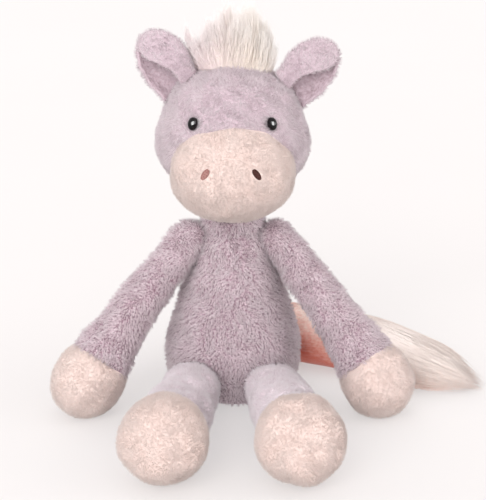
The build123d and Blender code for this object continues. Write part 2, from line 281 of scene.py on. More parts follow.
def strands(name, paths, widths, normals, material, normal_share, body, slot_name):
    """Closed three-sided strands along paths of shape (strand, point, 3), pointed at the end.
    normals, the skin's own under each strand, soften how the strands shade."""
    count, steps = paths.shape[0], paths.shape[1] - 1
    parts = math.ceil(count * (6 * steps - 2) / MOST_FACES)
    if parts > 1:
        order = np.argsort(paths[:, 0, 1], kind="stable")
        for part, chosen in enumerate(np.array_split(order, parts)):
            strands(f"{name}_{part + 1}", paths[chosen], widths[chosen], normals[chosen],
                    material, normal_share, body, slot_name)
        return
    tangents = unit(np.gradient(paths, axis=1))
    seam = unit(np.cross(tangents[:, 0], normals + 0.31 * tangents[:, 0][:, [1, 2, 0]]))
    side = unit(np.cross(tangents, seam[:, None]))
    other = np.cross(tangents, side)
    along = np.linspace(0, 1, steps + 1)[:steps]
    radius = widths[:, None] / 2 * (1 - 0.75 * along[None] ** 1.5)
    turn = (2 * math.pi / 3 * np.arange(3))[None, None, :, None]
    ring = np.cos(turn) * side[:, :steps, None] + np.sin(turn) * other[:, :steps, None]
    rings = paths[:, :steps, None] + ring * radius[:, :, None, None]
    per = 3 * steps + 1
    points = np.concatenate([rings.reshape(count, 3 * steps, 3), paths[:, -1:]], 1).reshape(-1, 3)
    points[:, 2] = np.maximum(points[:, 2], FLOOR * 0.5)
    faces = [(0, 2, 1)]
    for s in range(steps - 1):
        for k in range(3):
            n = (k + 1) % 3
            a, b, c, d = 3 * s + k, 3 * s + n, 3 * s + 3 + n, 3 * s + 3 + k
            faces += [(a, b, c), (a, c, d)]
    last = 3 * (steps - 1)
    faces += [(last + k, last + (k + 1) % 3, per - 1) for k in range(3)]
    faces = np.array(faces, np.int32)
    every = (faces[None] + (np.arange(count) * per)[:, None, None]).reshape(-1, 3).astype(np.int32)
    mesh = bpy.data.meshes.new(name)
    mesh.vertices.add(len(points))
    mesh.vertices.foreach_set("co", (points * MM).astype(np.float32).ravel())
    mesh.loops.add(every.size)
    mesh.loops.foreach_set("vertex_index", every.ravel())
    mesh.polygons.add(len(every))
    mesh.polygons.foreach_set("loop_start", np.arange(0, every.size, 3, dtype=np.int32))
    mesh.update(calc_edges=True)
    mesh.polygons.foreach_set("use_smooth", np.ones(len(every), bool))
    # how far along its strand each point is, for the darker roots: painted shade down in the pile
    share = np.concatenate([np.repeat(along, 3), [1.0]])
    tip = mesh.attributes.new("tip", "FLOAT", "POINT")
    tip.data.foreach_set("value", np.tile(share, count).astype(np.float32))
    # each strand has its own tile of the texture map
    tiles = math.ceil(math.sqrt(count))
    spread = np.concatenate([np.tile([0.1, 0.5, 0.9], steps), [0.5]])
    rise = 0.08 + 0.84 * share + np.concatenate([np.tile([0.0, 0.04, 0.0], steps), [0.0]])
    place = np.stack([np.arange(count) % tiles, np.arange(count) // tiles], 1)[:, None]
    tile_uv = (place + np.stack([spread, rise], 1)[None]) / tiles
    uv = mesh.uv_layers.new(name="OFBake")
    uv.data.foreach_set("uv", tile_uv.reshape(-1, 2)[every.ravel()].astype(np.float32).ravel())
    outward = np.concatenate([ring.reshape(count, 3 * steps, 3), tangents[:, -1:]], 1)
    soft = unit(normals[:, None] * normal_share + outward * (1 - normal_share)).reshape(-1, 3)
    mesh.materials.append(material)
    mesh.normals_split_custom_set_from_vertices(soft.tolist())
    obj = linked(name, mesh)
    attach(obj, body)


def pile(name, skin, material, body, slot_name,
         density, length, width, lean, gather, towards, seed, keep, per_tuft):
    """Short pile on a skin: straight strands that gather into small tufts.
    density is in strands per square millimetre, and keep says where a strand may stand."""
    rng = np.random.default_rng(seed)
    roots, normals = scatter(skin, density, rng)
    kept = keep(roots, normals)
    roots, normals = roots[kept], normals[kept]
    count = len(roots)
    centres = rng.choice(count, max(8, int(count / per_tuft)), replace=False)
    tree = kdtree.KDTree(len(centres))
    for i, c in enumerate(centres):
        tree.insert(roots[c], i)
    tree.balance()
    own = np.array([tree.find(r)[1] for r in roots])
    # it lies towards one side with some swirl, flat on the skin
    flow = np.asarray(towards) + 0.8 * np.stack([ripple(roots, 16, seed + k) for k in range(3)], 1)
    flow = flow - normals * (flow * normals).sum(1)[:, None]
    tuft_turn = rng.normal(size=(len(centres), 3)) * 0.34
    tuft_length = rng.uniform(0.78, 1.22, len(centres))
    up = unit(normals + lean * flow + rng.normal(size=(count, 3)) * 0.16)
    tuft_up = unit(normals[centres] + lean * flow[centres] + tuft_turn)
    own_tip = roots + up * (length * rng.uniform(0.7, 1.15, count))[:, None]
    tuft_tip = roots[centres] + tuft_up * (length * tuft_length)[:, None]
    tips = own_tip * (1 - gather) + tuft_tip[own] * gather
    tips[:, 2] = np.maximum(tips[:, 2], FLOOR)
    paths = np.stack([roots - normals * 0.35, tips], 1)
    widths = width * rng.uniform(0.7, 1.3, count)
    strands(name, paths, widths, normals, material, 0.22, body, slot_name)


# ---------------- materials
def node_material(name):
    material = bpy.data.materials.new(name)
    material.use_nodes = True
    tree = material.node_tree
    coords = tree.nodes.new("ShaderNodeTexCoord").outputs["Object"]
    return material, tree, tree.nodes["Principled BSDF"], coords


def set_inputs(node, values):
    for name, value in values.items():
        node.inputs[name].default_value = value


def noise_node(tree, coords, scale, detail):
    noise = tree.nodes.new("ShaderNodeTexNoise")
    set_inputs(noise, {"Scale": scale, "Detail": detail})
    tree.links.new(coords, noise.inputs["Vector"])
    return noise.outputs["Fac"]


def bump_node(tree, height, strength, distance, shader):
    bump = tree.nodes.new("ShaderNodeBump")
    set_inputs(bump, {"Strength": strength, "Distance": distance})
    tree.links.new(height, bump.inputs["Height"])
    tree.links.new(bump.outputs["Normal"], shader.inputs["Normal"])


def tip_node(tree):
    """How far along its strand a place is. It is 0 on a skin."""
    node = tree.nodes.new("ShaderNodeAttribute")
    node.attribute_name = "tip"
    return node.outputs["Fac"]


def math_node(tree, kind, a, b, clamp=False):
    node = tree.nodes.new("ShaderNodeMath")
    node.operation = kind
    node.use_clamp = clamp
    for socket, value in zip(node.inputs, (a, b)):
        if isinstance(value, (int, float)):
            socket.default_value = value
        else:
            tree.links.new(value, socket)
    return node.outputs[0]


def rough_node(tree, grain, spread, least, shader):
    rough = math_node(tree, "ADD", math_node(tree, "MULTIPLY", grain, spread), least)
    tree.links.new(rough, shader.inputs["Roughness"])


def ramp_node(tree, factor, stops):
    ramp = tree.nodes.new("ShaderNodeValToRGB")
    elements = ramp.color_ramp.elements
    elements[0].position, elements[1].position = stops[0][0], stops[-1][0]
    elements[0].color, elements[1].color = (*stops[0][1], 1), (*stops[-1][1], 1)
    for place, colour in stops[1:-1]:
        elements.new(place).color = (*colour, 1)
    tree.links.new(factor, ramp.inputs["Fac"])
    return ramp.outputs["Color"]


def plush_material(name, deep, mid, light, sheen, streak=1000.0, blotch=45.0, mottle=0.3, patches=0.12):
    """Pile whose colour is deeper at the roots, which is painted shade down in the pile, with fine streaks
    and slow blotches.
    streak and blotch are noise scales, and mottle and patches how strongly the two show."""
    material, tree, shader, coords = node_material(name)
    fine = noise_node(tree, coords, streak, 2.0)
    slow = noise_node(tree, coords, blotch, 2.0)
    # deeper towards the roots: painted shade between the strands
    value = math_node(tree, "MULTIPLY", tip_node(tree), 0.66)
    value = math_node(tree, "ADD", value, math_node(tree, "MULTIPLY", fine, mottle))
    value = math_node(tree, "ADD", value, math_node(tree, "MULTIPLY", slow, patches))
    value = math_node(tree, "ADD", value, 0.23 - (mottle + patches) / 2, clamp=True)
    colour = ramp_node(tree, value, [(0.1, deep), (0.5, mid), (0.9, light)])
    tree.links.new(colour, shader.inputs["Base Color"])
    rough_node(tree, fine, 0.25, 0.72, shader)
    set_inputs(shader, {"Specular IOR Level": 0.0, "Sheen Weight": sheen,
                        "Sheen Roughness": 0.45, "Sheen Tint": (*light, 1)})
    bump_node(tree, fine, 0.35, 0.0006, shader)
    return material


# how high the painted shade near the floor reaches
SHADE_HEIGHT = 0.032  # metres


def long_pile_material(name, stops, axis, low, high, tips, sheen, floor_shade):
    """Combed pile whose colour runs along one axis of the object, with streaks across it and paler tips.
    The last argument is how much deeper the colour is at the floor than 32 mm up, which is painted shade near
    the floor."""
    material, tree, shader, coords = node_material(name)
    parts = tree.nodes.new("ShaderNodeSeparateXYZ")
    tree.links.new(coords, parts.inputs["Vector"])
    run = tree.nodes.new("ShaderNodeMapRange")
    set_inputs(run, {"From Min": low, "From Max": high})
    tree.links.new(parts.outputs[axis], run.inputs["Value"])
    streak = noise_node(tree, coords, 420.0, 2.0)
    value = math_node(tree, "ADD", run.outputs["Result"], math_node(tree, "MULTIPLY", streak, 0.5))
    # painted shade: darker towards the floor, fading out 32 mm up
    raised = tree.nodes.new("ShaderNodeMapRange")
    raised.inputs["From Max"].default_value = SHADE_HEIGHT
    tree.links.new(parts.outputs["Z"], raised.inputs["Value"])
    value = math_node(tree, "ADD", value, math_node(tree, "MULTIPLY", raised.outputs["Result"], floor_shade))
    value = math_node(tree, "SUBTRACT", value, 0.25 + floor_shade / 2, clamp=True)
    toward_tips = math_node(tree, "MULTIPLY", math_node(tree, "POWER", tip_node(tree), 3.0), 0.7, clamp=True)
    mix = tree.nodes.new("ShaderNodeMixRGB")
    tree.links.new(toward_tips, mix.inputs["Fac"])
    tree.links.new(ramp_node(tree, value, stops), mix.inputs["Color1"])
    mix.inputs["Color2"].default_value = (*tips, 1)
    tree.links.new(mix.outputs["Color"], shader.inputs["Base Color"])
    rough_node(tree, streak, 0.3, 0.5, shader)
    set_inputs(shader, {"Specular IOR Level": 0.0, "Sheen Weight": sheen, "Sheen Roughness": 0.4})
    return material


def plain_material(name, dark, light, roughness, scale, specular=0.3):
    material, tree, shader, coords = node_material(name)
    grain = noise_node(tree, coords, scale, 3.0)
    tree.links.new(ramp_node(tree, grain, [(0.3, dark), (0.7, light)]), shader.inputs["Base Color"])
    rough_node(tree, grain, 0.2, roughness - 0.1, shader)
    shader.inputs["Specular IOR Level"].default_value = specular
    bump_node(tree, grain, 0.2, 0.0004, shader)
    return material


lilac = plush_material("lilac_plush", (0.48, 0.37, 0.42), (0.755, 0.655, 0.695), (0.86, 0.775, 0.81), 0.7)
# the body's and arms' lilac: its much deeper root colour and strong mottle are painted shade in the gaps
# between the tufts
gap_shaded_coat = plush_material(
    "lilac_coat_painted_shade", (0.27, 0.17, 0.21), (0.76, 0.635, 0.685), (0.93, 0.845, 0.875), 0.6, mottle=1.3)
# the legs' lilac: smoother, and lighter than the same cloth elsewhere, which is painted light on the legs
lit_smooth_lilac = plush_material(
    "lilac_sleeve_painted_light", (0.74, 0.63, 0.68), (0.92, 0.83, 0.87), (0.97, 0.91, 0.945), 0.8,
    mottle=0.6, patches=0.05)
# the ears' lining: a darker copy of the same lilac, painted shade inside the fold
lining = plush_material("lilac_lining_painted_shade", (0.30, 0.19, 0.23), (0.58, 0.44, 0.49), (0.78, 0.66, 0.70), 0.2)
blush = plush_material(
    "blush_plush", (0.78, 0.635, 0.59), (0.83, 0.705, 0.66), (0.87, 0.765, 0.725), 0.9,
    1300.0, 30.0, mottle=0.5, patches=0.06)
# a darker blush for the flat soles: painted shade, so a lifted sole does not burn out under the lamps
shaded_sole = plush_material(
    "sole_blush_painted_shade", (0.48, 0.375, 0.345), (0.53, 0.425, 0.39), (0.57, 0.46, 0.425), 0.0, 1300.0, 60.0)
cream = long_pile_material("cream_pile", [
    (0.0, (0.95, 0.81, 0.82)), (0.4, (0.97, 0.86, 0.81)),
    (0.65, (0.98, 0.885, 0.80)), (1.0, (0.97, 0.91, 0.87)),
], "X", -0.022, 0.03, (0.95, 0.94, 0.93), 0.6, 0.0)
# the tail's coral runs to pale peach along it; its deepest stops near the body are partly painted shade from
# the body and arm, and its darkening near the floor is painted shade
tail_dye_and_shade = long_pile_material("tail_pile", [
    (0.0, (0.70, 0.16, 0.105)), (0.25, (0.84, 0.36, 0.285)),
    (0.6, (0.97, 0.77, 0.69)), (1.0, (0.97, 0.88, 0.83)),
], "X", 0.03, 0.115, (0.95, 0.87, 0.83), 0.4, 1.0)
cloth = plain_material("bag_cloth", (0.70, 0.67, 0.60), (0.86, 0.84, 0.78), 0.85, 900.0)
pellet = plain_material("pellet", (0.80, 0.80, 0.78), (0.92, 0.92, 0.90), 0.5, 500.0)
washer = plain_material("washer_plastic", (0.70, 0.70, 0.70), (0.84, 0.84, 0.84), 0.45, 250.0)
tape = plain_material("tape", (0.70, 0.50, 0.46), (0.84, 0.68, 0.62), 0.85, 1100.0)
thread = plain_material("dark_thread", (0.040, 0.014, 0.012), (0.10, 0.042, 0.038), 0.8, 1600.0, 0.02)
# a lighter copy of the dark thread for the toy's right nostril: painted light
lit_thread = plain_material("mauve_thread_painted_light", (0.24, 0.10, 0.09), (0.46, 0.27, 0.25), 0.8, 1600.0, 0.02)
eye_black = plain_material("eye_black", (0.002, 0.002, 0.002), (0.006, 0.005, 0.006), 0.1, 120.0, 0.25)

# the CAD nodes that stay inside
for node, material in (
    ("pellet_bag", cloth), ("pellets", pellet), ("tail_tab", tape),
    ("left_eye_washer", washer), ("right_eye_washer", washer),
):
    frame["nodes"][node].data.materials.clear()
    frame["nodes"][node].data.materials.append(material)


def stand_in(obj, body, slot_name, *nodes):
    """A piece takes the place of its CAD nodes."""
    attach(obj, body)
    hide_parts(*nodes)


def cover(obj, body, slot_name, fill, *nodes):
    """A sewn and stuffed skin takes the place of its CAD nodes."""
    stand_in(obj, body, slot_name, *nodes)


# ---------------- body
def pear_profile():
    """The body's outline: the cloth of the belly and shoulders, and the neck's ball standing on it."""
    neck_ball = neck_radius - LILAC_SINK
    neck_root = neck[2] - 14.0
    top = neck[2] + neck_radius - LILAC_SINK
    balls = [(belly_height, belly_radius - LILAC_SINK), (shoulder_height, shoulder_radius - LILAC_SINK)]
    lower = ball_row_profile(balls, 1.0)
    outline = []
    for z in np.arange(FLOOR, top, 1.0):
        radius = np.interp(z, lower[:, 0], lower[:, 1], right=0)
        up = neck_ball**2 - (z - neck[2]) ** 2
        outline.append((z, max(radius, math.sqrt(max(up, 0)) if z > neck_root else 0)))
    seat_radius = outline[0][1]
    seat = [(FLOOR, 0.0)] + [(FLOOR, seat_radius * t) for t in np.linspace(0.04, 0.96, 24)]
    cap = [(neck[2] + neck_ball * math.sin(a), neck_ball * math.cos(a)) for a in np.radians([70, 76, 82, 86])]
    outline = [o for o in outline if o[0] < cap[0][0]]
    return np.array(seat + outline + cap + [(top, 0.0)])


points, faces = turned(np.zeros(3), np.array([0.0, 0.0, 1.0]), pear_profile(), 260)
body_skin = link_mesh("body_skin", points, faces, gap_shaded_coat)
lumps(body_skin, 34, 0.7, 11)
cover(body_skin, "body", "lilac_plush", 0.8, "body_cover", "body_stuffing")


def outside_head(p):
    """Where a strand isn't hidden in the head or the muzzle."""
    off = p - muzzle_centre
    half_row = muzzle_half_width - muzzle_radius
    off[:, 0] -= np.clip(off[:, 0], -half_row, half_row)
    outside_muzzle = np.linalg.norm(off, axis=1) > muzzle_radius - HIDDEN
    return outside_muzzle & (distance(p, head_centre) > head_radius - HIDDEN)


def body_keep(p, n):
    kept = outside_head(p) & (p[:, 2] > FLOOR + 0.2)
    for name in SIDES:
        kept &= distance(p, joint_place[f"{name}_hip"]) > HIP_BARE
        kept &= distance(p, joint_place[f"{name}_shoulder"]) > SHOULDER_BARE
    return kept


pile("body_pile", body_skin, gap_shaded_coat, "body", "lilac_plush",
     2.7, 3.9, 0.36, 0.95, 0.62, (0, 0, -0.9), 21, body_keep, 7.0)


# ---------------- head and muzzle
def out_of_hollow(points, extra):
    """Pushes what would be inside the neck's hollow out to its wall."""
    off = points - neck
    far = np.linalg.norm(off, axis=1)
    wall = neck_radius + NECK_GAP + extra
    inside = far < wall
    points[inside] = neck + off[inside] / far[inside][:, None] * wall
    return points


ball_points, ball_faces = unit_ball(7, 0.3)
eye_forward = math.sqrt(head_radius**2 - EYE_SPREAD**2 - EYE_RISE**2)
eye_place = {}
for name, side in SIDES.items():
    out = unit(np.array([side * EYE_SPREAD, -eye_forward, EYE_RISE]))
    eye_place[name] = (head_centre + out * head_radius, out)


def head_shape(direction):
    """The head's cloth: a ball with fuller cheeks, a flatter crown, and the eyes' dimples."""
    radius = np.full(len(direction), head_radius - LILAC_SINK)
    side, up = np.abs(direction[:, 0]), direction[:, 2]
    radius -= 1.4 * smooth_step(side, 0.6, 1.0) * smooth_step(up, -0.3, 0.4)
    radius += 1.0 * np.exp(-((up - 0.72) / 0.22) ** 2) * smooth_step(side, 0.25, 0.7)
    radius -= 0.6 * smooth_step(up, 0.86, 1.0)
    radius -= 3.6 * smooth_step(side, 0.35, 0.8) * smooth_step(-up, 0.12, 0.6)
    for _, out in eye_place.values():
        apart = np.degrees(np.arccos(np.clip(direction @ out, -1, 1)))
        radius -= 2.4 * np.exp(-((apart / 6.0) ** 2)) + 0.8 * np.exp(-((apart / 13.0) ** 2))
    return radius


points = head_centre + ball_points * head_shape(ball_points)[:, None]
head_skin = link_mesh("head_skin", out_of_hollow(points, 0.3), ball_faces, lilac)
lumps(head_skin, 30, 0.45, 5)
cover(head_skin, "head", "lilac_plush", 0.9, "head_cover", "head_stuffing")

egg_centre = muzzle_centre + [0.0, 3.0, 1.0]
egg_axes = np.array([muzzle_half_width - 3.5, muzzle_radius + 2.5, muzzle_radius + 2.5]) - BLUSH_SINK
egg_below = muzzle_radius - 1.0 - BLUSH_SINK


def muzzle_scale(direction):
    """How far along each way from its middle the muzzle's cloth is: an egg, taller above than below."""
    axes = np.tile(egg_axes, (len(direction), 1))
    axes[:, 0] += 1.8 * smooth_step(-direction[:, 2], 0.0, 0.6)
    axes[direction[:, 2] < 0, 2] = egg_below
    return 1 / np.linalg.norm(direction / axes, axis=1)


points = egg_centre + ball_points * muzzle_scale(ball_points)[:, None]
muzzle_skin = link_mesh("muzzle_skin", out_of_hollow(points, 0.3), ball_faces, blush)
lumps(muzzle_skin, 26, 0.4, 6)
cover(muzzle_skin, "head", "blush_plush", 0.9, "muzzle_cover")


def muzzle_depth(p):
    """How far outside the muzzle's cloth a place is."""
    off = p - egg_centre
    far = np.linalg.norm(off, axis=1)
    return far - muzzle_scale(off / far[:, None])


def clear_of_neck(p, extra=1.2):
    return distance(p, neck) > neck_radius + NECK_GAP + extra


def head_keep(p, n):
    kept = (muzzle_depth(p) > 0.2) & clear_of_neck(p)
    for place, _ in eye_place.values():
        kept &= distance(p, place) > EYE_BARE
    return kept


def muzzle_keep(p, n):
    kept = (distance(p, head_centre) > head_radius - LILAC_SINK + 0.2) & clear_of_neck(p)
    for place, _, way, across in nostrils.values():
        off = p - place
        along, aside = (off @ way) / (NOSTRIL_HALF_LENGTH + 0.3), (off @ across) / (NOSTRIL_HALF_WIDTH + 0.3)
        kept &= along**2 + aside**2 > 1
    return kept


nostrils = {}
for name, side in SIDES.items():
    low, high = cad(f"{name}_nostril")
    middle = (low + high) / 2 - [0.0 if side > 0 else 2.0, 0.0, 0.0]
    out = unit(middle - egg_centre)
    place = egg_centre + out * muzzle_scale(out[None])[0]
    way = np.array([-side * math.sin(NOSTRIL_TILT), 0.0, math.cos(NOSTRIL_TILT)])
    way = unit(way - out * (way @ out))
    nostrils[name] = (place, out, way, np.cross(way, out))


pile("head_pile", head_skin, lilac, "head", "lilac_plush",
     3.1, 2.8, 0.34, 0.95, 0.42, (0, 0.1, -0.8), 22, head_keep, 5.0)
pile("muzzle_pile", muzzle_skin, blush, "head", "blush_plush",
     4.4, 1.9, 0.30, 0.7, 0.22, (0, 0, -0.5), 23, muzzle_keep, 5.0)

# ---------------- eyes
for name, (place, out) in eye_place.items():
    up = unit(np.array([0.0, 0.0, 1.0]) - out * out[2])
    across = np.cross(up, out)
    turn = turns(48)[:, None]
    rim = np.cos(turn) * across * EYE_HALF_WIDTH + np.sin(turn) * up * EYE_HALF_HEIGHT
    shell = []
    for t in np.linspace(0.03, 1.0, 14):
        angle = t * math.pi / 2
        shell.append(place - out * EYE_SUNK + out * EYE_DOME * math.cos(angle) + rim * math.sin(angle))
    shell.append(shell[-1] - out)
    front, rear = place + out * (EYE_DOME - EYE_SUNK), place - out * (EYE_SUNK + 1.0)
    eye = link_rings(f"{name}_eye_button", shell, front, rear, eye_black)
    face_outwards(eye)
    stand_in(eye, "head", "eye_plastic", f"{name}_eye")

# ---------------- arms and legs
limbs = {
    # joint, hoof radius, half its length, limb length, the sleeve's radii from root to seam, how far in its
    # root is and how much wider than high, its material, its pile's length and gather, and a seed
    "arm": ("shoulder", 21.5, 23.5, 98.0, (10.4, 10.8, 11.8, 13.6, 16.8), 7.5, 0.0, gap_shaded_coat, 3.7, 0.6, 10),
    "leg": ("hip", 25.0, 26.0, 87.0, (13.2, 13.8, 14.8, 16.4, 18.6), 0.0, 0.22, lit_smooth_lilac, 3.0, 0.3, 9),
}
for kind, values in limbs.items():
    joint, hoof_radius, hoof_half, length, sleeve_radii, root_shift, widen = values[:7]
    fabric, pile_length, gather, first_seed = values[7:]
    for name, side in SIDES.items():
        pivot = joint_place[f"{name}_{joint}"]
        low, high = cad(f"{name}_{kind}_hoof")
        centre_height = hoof_radius - HOOF_FLAT
        beyond = hoof_half - hoof_radius
        end_x = high[0] - hoof_radius if side > 0 else low[0] + hoof_radius
        end_z = centre_height + (centre_height - pivot[2]) / length * beyond
        end_ball = np.array([end_x, low[1] + hoof_radius, end_z])
        along = unit(end_ball - pivot)
        reach = np.linalg.norm(end_ball - pivot) - beyond
        end_radius = sleeve_radii[-1]
        seam = reach - beyond - math.sqrt((hoof_radius - BLUSH_SINK) ** 2 - end_radius**2)
        body = f"{name}_{kind}"
        seed = first_seed + int(side)

        # the sleeve's line starts on the joint's own axis, so its root turns in place
        root = pivot - np.array([side * root_shift, 0.0, 0.0])
        end = pivot + along * (seam + 1.0)
        t = np.linspace(0, 1, 80)[:, None]
        line = root * (1 - t) ** 2 + (end - along * seam * 0.5) * 2 * t * (1 - t) + end * t**2
        radii = np.interp(t[:, 0], np.linspace(0, 1, len(sleeve_radii)), sleeve_radii)
        start_way = unit(line[1] - line[0])
        cap = np.linspace(0, math.pi / 2, 14)[:-1]
        cap_line = root - start_way * radii[0] * np.cos(cap)[:, None]
        end_line = end + along * 0.2 * np.arange(1, 6)[:, None]
        line = np.concatenate([cap_line, line, end_line])
        end_radii = radii[-1] * np.array([0.85, 0.6, 0.35, 0.12, 0.0])
        radii = np.concatenate([radii[0] * np.sin(cap), radii, end_radii])
        near_root = 1 - smooth_step(np.arange(len(line)), len(line) * 0.55, len(line) - 8)
        points, faces = swept(line, radii, 120, 1 + widen * near_root)
        skin = link_mesh(f"{body}_skin", points, faces, fabric)
        lumps(skin, 22, 0.55, 31 + seed)
        cover(skin, body, "lilac_plush", 0.7, f"{body}_cover", f"{body}_stuffing")

        def sleeve_keep(p, n):
            # the body's rough outline, from the seat to the neck
            body_radius = np.interp(p[:, 2], [0, belly_height, shoulder_height, 110],
                                    [belly_radius, belly_radius, shoulder_radius, 18])
            outside = np.linalg.norm(p[:, :2], axis=1) >= body_radius - 3.5
            return ((p - pivot) @ along < seam + 0.6) & outside_head(p) & outside

        pile(f"{body}_pile", skin, fabric, body, "lilac_plush",
             2.8, pile_length, 0.35, 0.95, gather, along * 0.9, 41 + seed, sleeve_keep, 6.5)

        inner_radius = hoof_radius - BLUSH_SINK
        profile = ball_row_profile([(-beyond, inner_radius), (beyond, inner_radius)], 0.8)
        rear = seam - reach
        profile = profile[profile[:, 0] > rear]
        disc = [(rear, (end_radius - 0.4) * t) for t in (0.0, 0.3, 0.6, 0.9)]
        profile = np.concatenate([disc, profile])
        points, faces = turned(pivot + along * reach, along, profile, 190)
        hoof = link_mesh(f"{body}_hoof_skin", points, faces, blush)
        lumps(hoof, 24, 0.5, 51 + seed)
        # the flat soles take the darker blush: painted shade
        hoof.data.materials.append(shaded_sole)
        for face in hoof.data.polygons:
            face.material_index = int(face.normal.z < -0.5 and face.center.z < SOLE_HEIGHT * MM)
        cover(hoof, body, "blush_plush", 0.85, f"{body}_hoof")

        def hoof_keep(p, n):
            return ((p - pivot) @ along > seam + 0.3) & ((p[:, 2] > SOLE_HEIGHT) | (n[:, 2] > -0.5))

        pile(f"{body}_hoof_pile", hoof, blush, body, "blush_plush",
             4.0, 2.1, 0.30, 0.7, 0.28, along * 0.6, 61 + seed, hoof_keep, 5.0)


# ---------------- ears
def ear_loop(v, share):
    """The ear's cut at height v, a share of its length: folded cloth, as a closed loop of (outward, forward).
    share is how much of the cloth's thickness is left there."""
    half_width = np.interp(v, [0, 0.3, 0.6, 0.82, 0.94, 1.0], [11.6, 13.8, 12.8, 9.2, 5.6, 1.8])
    depth = np.interp(v, [0, 0.35, 0.8, 1.0], [5.5, 6.5, 4.0, 1.0])
    edge = -0.30 + 1.15 * smooth_step(v, 0.05, 1.0) ** 1.3
    front = np.linspace(math.acos(-edge), 0.0, 30)
    rear = np.linspace(0.0, math.pi * 0.96, 34)[1:]
    line = [(-half_width * math.cos(a), depth * math.sin(a) ** 0.9) for a in front]
    line += [(-half_width * math.cos(a), -depth * 0.55 * math.sin(a)) for a in rear]
    line = np.array(line)
    tangent = unit(np.gradient(line, axis=0))
    side = np.stack([tangent[:, 1], -tangent[:, 0]], 1)
    thick = 1.35 * share
    bend = np.linspace(0, math.pi, 7)[1:-1, None]
    start_cap = line[0] + thick * (side[0] * np.cos(bend[::-1]) - tangent[0] * np.sin(bend[::-1]))
    end_cap = line[-1] + thick * (side[-1] * np.cos(bend) + tangent[-1] * np.sin(bend))
    return np.concatenate([line + side * thick, end_cap, (line - side * thick)[::-1], start_cap])


# each ear's lean from upright in degrees, and its slide along its flop's own axis, outwards and down
ears = {"left": (42.0, 5.0), "right": (32.0, 0.5)}
forward = np.array([0.0, -1.0, 0.0])
for name, (lean, slide) in ears.items():
    side = SIDES[name]
    root = joint_place[f"{name}_ear_flop"]
    root_way = unit(root - head_centre) * [1, 0, 1]
    root = root + unit(np.array([root_way[2], 0.0, -root_way[0]]) * side) * slide
    lean = math.radians(lean)
    length_way = np.array([side * math.sin(lean), 0.0, math.cos(lean)])
    outward = np.array([side * math.cos(lean), 0.0, -math.sin(lean)])
    rows = []
    for v in np.concatenate([[-0.10, -0.05], np.linspace(0, 0.9, 40), [0.93, 0.955, 0.975, 0.99, 1.0]]):
        share = 1.0 if v < 0.9 else max(0.35, math.sqrt(max(0.0, (1.02 - v) / 0.12)))
        loop = ear_loop(max(v, 0.0), share)
        droop = -0.21 * loop[:, 0] * (1 - max(v, 0))
        spot = root + length_way * (v * EAR_LENGTH - 2.0)
        rows.append(spot + loop[:, :1] * outward + loop[:, 1:] * forward + droop[:, None] * length_way)
    skin = link_rings(f"{name}_ear_skin", rows, rows[0].mean(0), rows[-1].mean(0), lilac)
    face_outwards(skin)
    cover(skin, f"{name}_ear", "lilac_plush", 0.3, f"{name}_ear_back", f"{name}_ear_lining")

    def in_fold(p, n):
        """Whether a place is on the lining, whose normals face the fold's middle line."""
        off = root - p
        off -= (off @ length_way)[:, None] * length_way
        return (off * n).sum(1) > 0

    # the lining's pile takes the darker lilac: painted shade in the ear's fold
    sides = (("ear", False, lilac, 2.4, 71), ("ear_lining", True, lining, 2.2, 81))
    for part, inside, fabric, length, seed in sides:
        def ear_keep(p, n):
            return (distance(p, head_centre) > head_radius - 2.0) & (in_fold(p, n) == inside)

        pile(f"{name}_{part}_pile", skin, fabric, f"{name}_ear", "lilac_plush",
             3.0, length, 0.32, 0.8, 0.45, length_way * 0.8, seed + int(side), ear_keep, 5.0)


# ---------------- long pile
def curved(roots, mids, tips, steps):
    t = np.linspace(0, 1, steps + 1)[None, :, None]
    return roots[:, None] * (1 - t) ** 2 + mids[:, None] * 2 * t * (1 - t) + tips[:, None] * t**2


def on_circle(angle, radius):
    return np.stack([np.cos(angle) * radius, np.sin(angle) * radius], 1)


def on_head(xy, sink):
    """Places this deep under the head's surface, over these places on the level."""
    rise = np.sqrt(np.maximum((head_radius - sink) ** 2 - ((xy - head_centre[:2]) ** 2).sum(1), 0))
    return np.concatenate([xy, rise[:, None] + head_centre[2]], 1)


# the forelock, whose locks are tallest about its middle
rng = np.random.default_rng(81)
low, high = cad("forelock")
tuft_middle = (low + high) / 2 + [0.0, 3.5, 0.0]
tuft_half = (high - low) / 2 * [1.0, 0.62, 1.0]
lock_count, count = 70, 11000
lock_angle = rng.uniform(0, 2 * math.pi, lock_count)
lock_reach = np.sqrt(rng.random(lock_count))
lock_xy = on_circle(lock_angle, lock_reach)
lock_xy[:2] = [(-1.0, -0.1), (0.98, -0.2)]
lock_root = on_head(tuft_middle[:2] + lock_xy * tuft_half[:2] * [0.86, 0.85], 2.5)
lock_length = np.interp(lock_xy[:, 0], [-1.0, -0.6, -0.5, -0.2, 0.03, 0.2, 0.5, 0.8, 1.0],
                        [22, 24, 28, 37, 29, 37, 35, 25, 16])
lock_length += rng.uniform(-4.0, 1.5, lock_count) - 5.0 * np.abs(lock_xy[:, 1])
lock_way = np.concatenate([lock_xy * [0.16, 0.25], np.ones((lock_count, 1))], 1)
lock_way += rng.normal(size=(lock_count, 3)) * 0.07
lock_way[:, 0] -= 0.14 * smooth_step(-lock_xy[:, 0], 0.1, 0.8)
lock_way[:2] = [(-0.50, -0.1, 0.85), (0.30, -0.1, 0.9)]
lock_tip = lock_root + unit(lock_way) * lock_length[:, None]
angle = rng.uniform(0, 2 * math.pi, count)
reach = np.sqrt(rng.uniform(0.2, 1.0, count))
root_xy = tuft_middle[:2] + on_circle(angle, reach) * tuft_half[:2] * 0.92
stray = root_xy + rng.normal(size=(count, 2)) * 1.6
